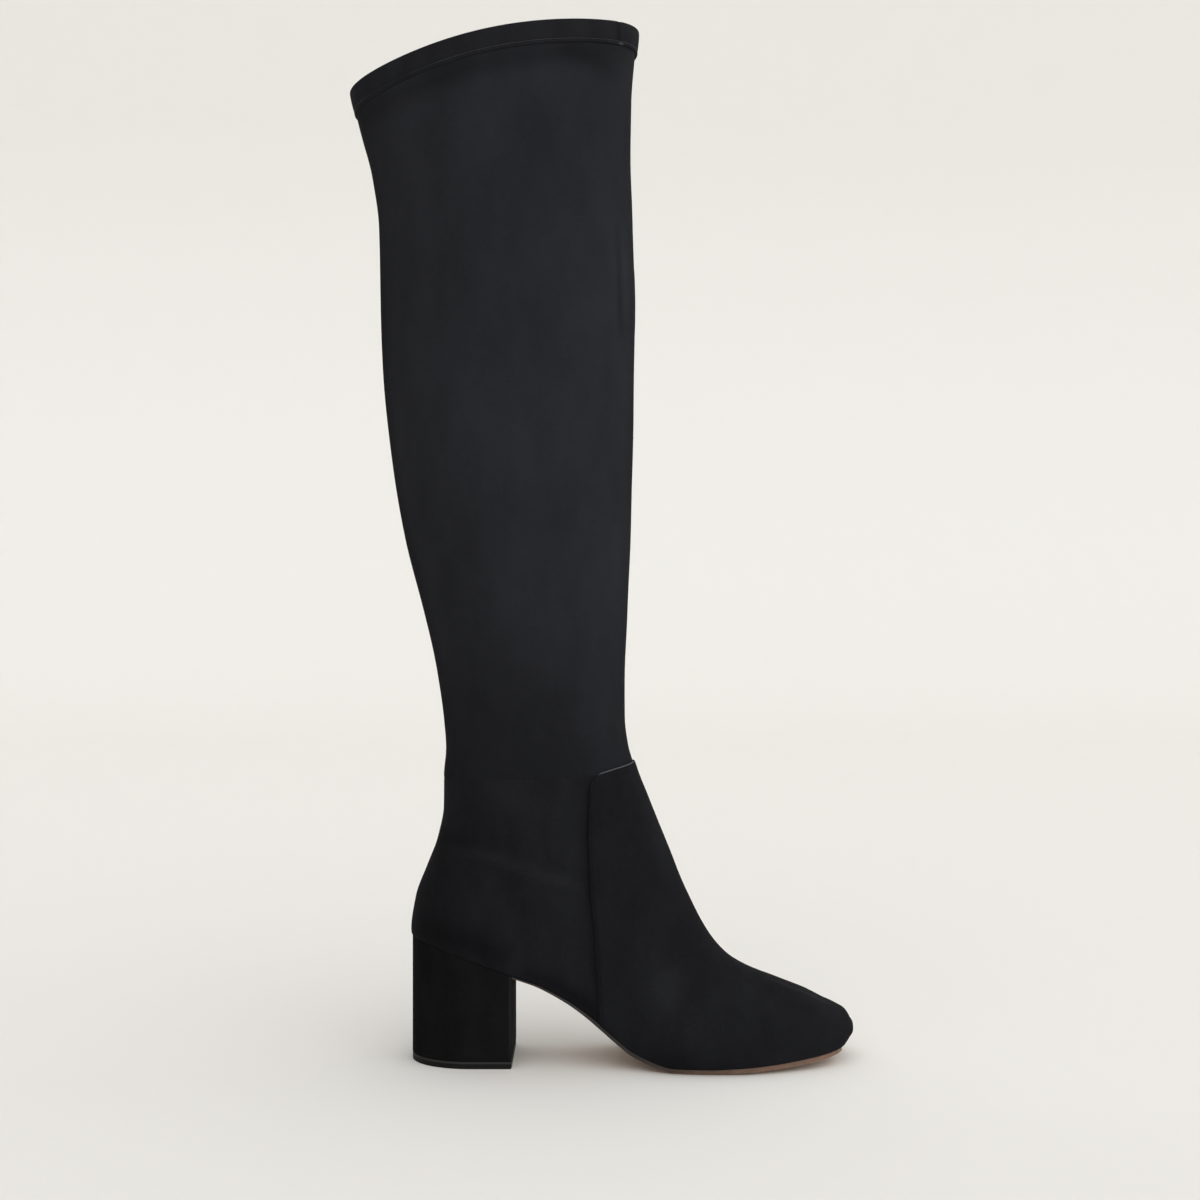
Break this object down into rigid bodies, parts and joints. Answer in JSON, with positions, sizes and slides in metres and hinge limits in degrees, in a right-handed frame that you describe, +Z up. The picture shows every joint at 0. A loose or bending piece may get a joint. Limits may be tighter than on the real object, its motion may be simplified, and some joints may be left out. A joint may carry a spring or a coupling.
{
  "type": "thigh high boot",
  "caption": "Over-the-knee pull-on boot in black faux suede with a stretch leg, folded collar band, wrapped block heel and thin tan outsole.",
  "frame": {"origin": "on the floor under the middle of the heel, on the bottom face of the top lift", "axes": "+X towards the toe, +Y to the inner side of the foot, +Z up along the leg"},
  "size_m": [0.2863, 0.1046, 0.5832],
  "materials": {
    "faux_suede": "matte brushed nap",
    "stretch_suede": "matte stretch cloth",
    "outsole_tan": "satin",
    "lift_rubber": "matte",
    "sock_lining": "matte"
  },
  "bodies": {
    "root": {"outsole": "outsole_tan", "insole": "sock_lining", "upper": "faux_suede", "vamp": "faux_suede", "shaft": "stretch_suede", "collar_band": "stretch_suede", "heel": "faux_suede", "top_lift": "lift_rubber"}
  },
  "joints": []
}
